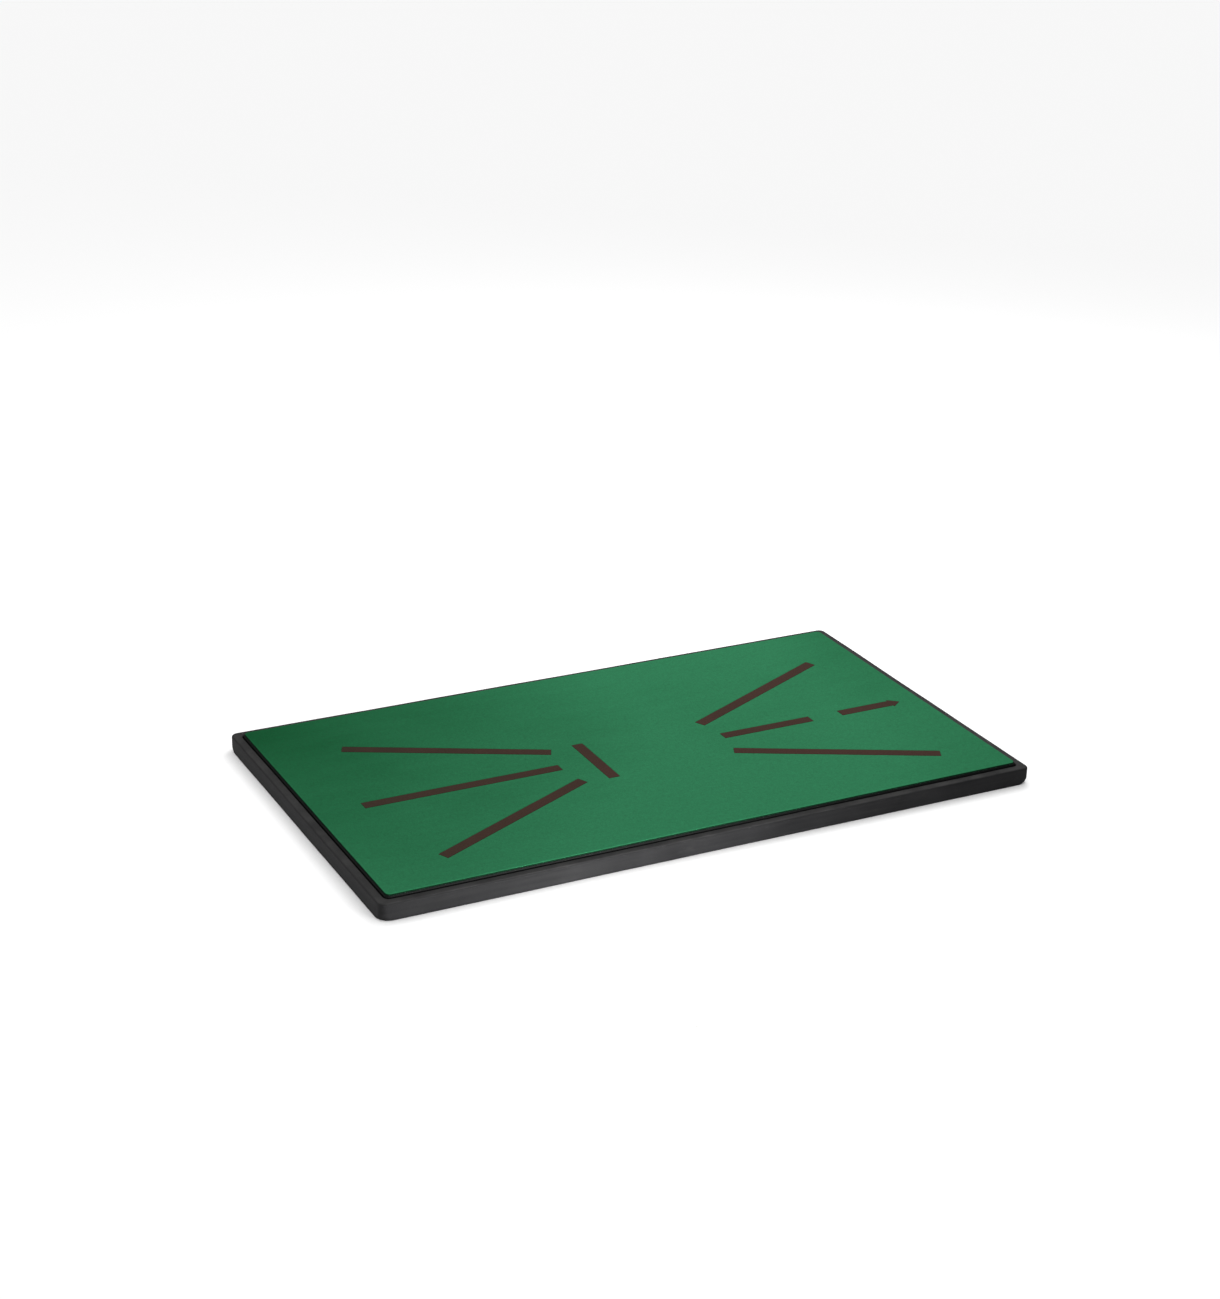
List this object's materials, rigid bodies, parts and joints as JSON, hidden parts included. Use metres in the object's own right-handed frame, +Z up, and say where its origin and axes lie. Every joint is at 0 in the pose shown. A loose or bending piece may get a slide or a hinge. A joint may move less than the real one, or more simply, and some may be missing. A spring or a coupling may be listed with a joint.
{
  "type": "golf hitting mat",
  "caption": "Low rubber tray with a lift-out velvet hitting insert marked with brown swing guide lines and an aiming arrow.",
  "frame": {"origin": "centre of the tray's underside, on the ground", "axes": "+X along the mat, the way the arrow points; +Y to the mat's back edge; +Z up"},
  "size_m": [0.495, 0.282, 0.015],
  "materials": {
    "tray_rubber": "matte",
    "tape": "satin",
    "foam": "matte",
    "hook": "matte",
    "loop": "matte",
    "backing_rubber": "matte",
    "velvet": "matte",
    "guide_line": "matte"
  },
  "bodies": {
    "base": {"base_tray": "tray_rubber", "cushion_tape": "tape", "cushion_pad": "foam", "hook_patch_front_left": "hook", "hook_patch_front_right": "hook", "hook_patch_back_left": "hook", "hook_patch_back_right": "hook"},
    "insert": {"loop_patch_front_left": "loop", "loop_patch_front_right": "loop", "loop_patch_back_left": "loop", "loop_patch_back_right": "loop", "insert_backing": "backing_rubber", "velvet_face": "velvet", "left_line_back": "guide_line", "left_line_middle": "guide_line", "left_line_front": "guide_line", "right_line_back": "guide_line", "right_line_middle": "guide_line", "right_line_front": "guide_line", "aim_arrow": "guide_line", "address_line": "guide_line"}
  },
  "joints": [
    {"name": "insert_lift", "type": "slide", "parent": "base", "child": "insert", "axis": [0, 0, 1], "range_m": [0, 0.04]}
  ]
}
